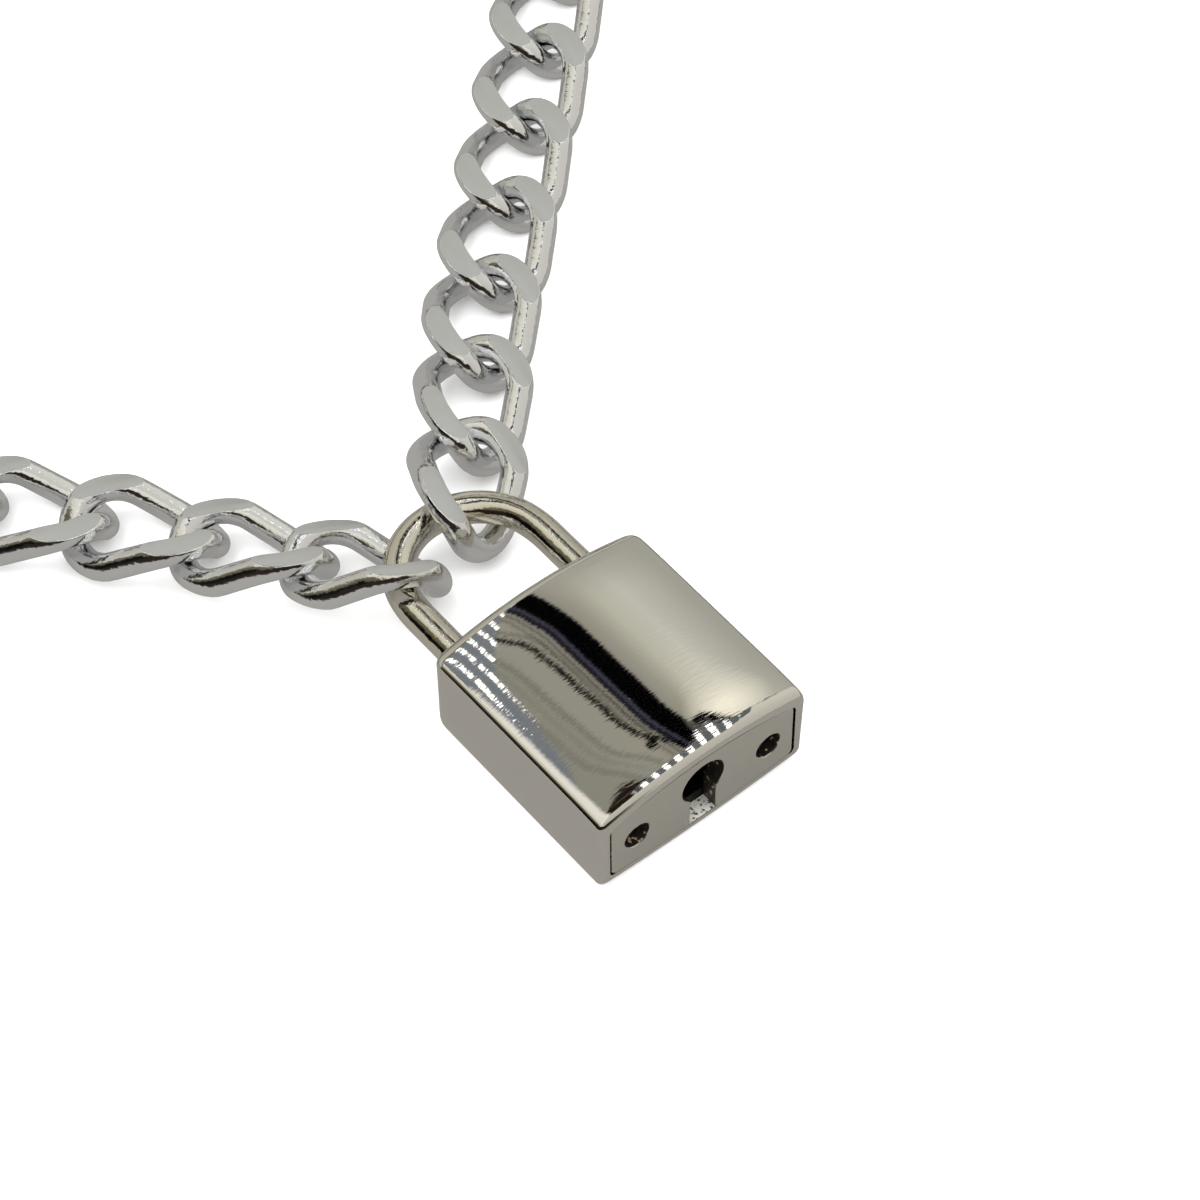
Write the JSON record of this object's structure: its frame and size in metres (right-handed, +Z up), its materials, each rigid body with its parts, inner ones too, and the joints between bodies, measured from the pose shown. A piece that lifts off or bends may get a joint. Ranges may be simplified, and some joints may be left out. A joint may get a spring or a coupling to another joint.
{
  "type": "padlock pendant necklace",
  "caption": "Small plated padlock with a sliding body and keyhole, lying on its back as the clasp and pendant of a heavy flat-cut curb chain necklace.",
  "frame": {"origin": "middle of the whole necklace's bounding box, on the surface that it lies on", "axes": "+Z up from the surface through the lying necklace, +Y from the lock's keyhole end past its shackle to the far side of the chain loop, +X across the lock"},
  "size_m": [0.1476, 0.2048, 0.0095],
  "materials": {
    "polished_nickel": "polished nickel plate with faint scratches",
    "satin_nickel": "satin nickel plate",
    "inner_metal": "dull unplated metal",
    "shackle_nickel": "polished nickel plate, slightly warm",
    "chain_plate": "bright plated wire with matt cut flats"
  },
  "bodies": {
    "necklace": {"shackle": "shackle_nickel", "left_chain": "chain_plate", "right_chain": "chain_plate"},
    "lock_body": {"case_shell": "polished_nickel", "end_plate": "satin_nickel", "rivet_left": "satin_nickel", "rivet_right": "satin_nickel", "lock_core": "inner_metal"}
  },
  "joints": [
    {"name": "shackle_slide", "type": "slide", "parent": "necklace", "child": "lock_body", "axis": [0, -1, 0], "range_m": [0, 0.0042]}
  ]
}
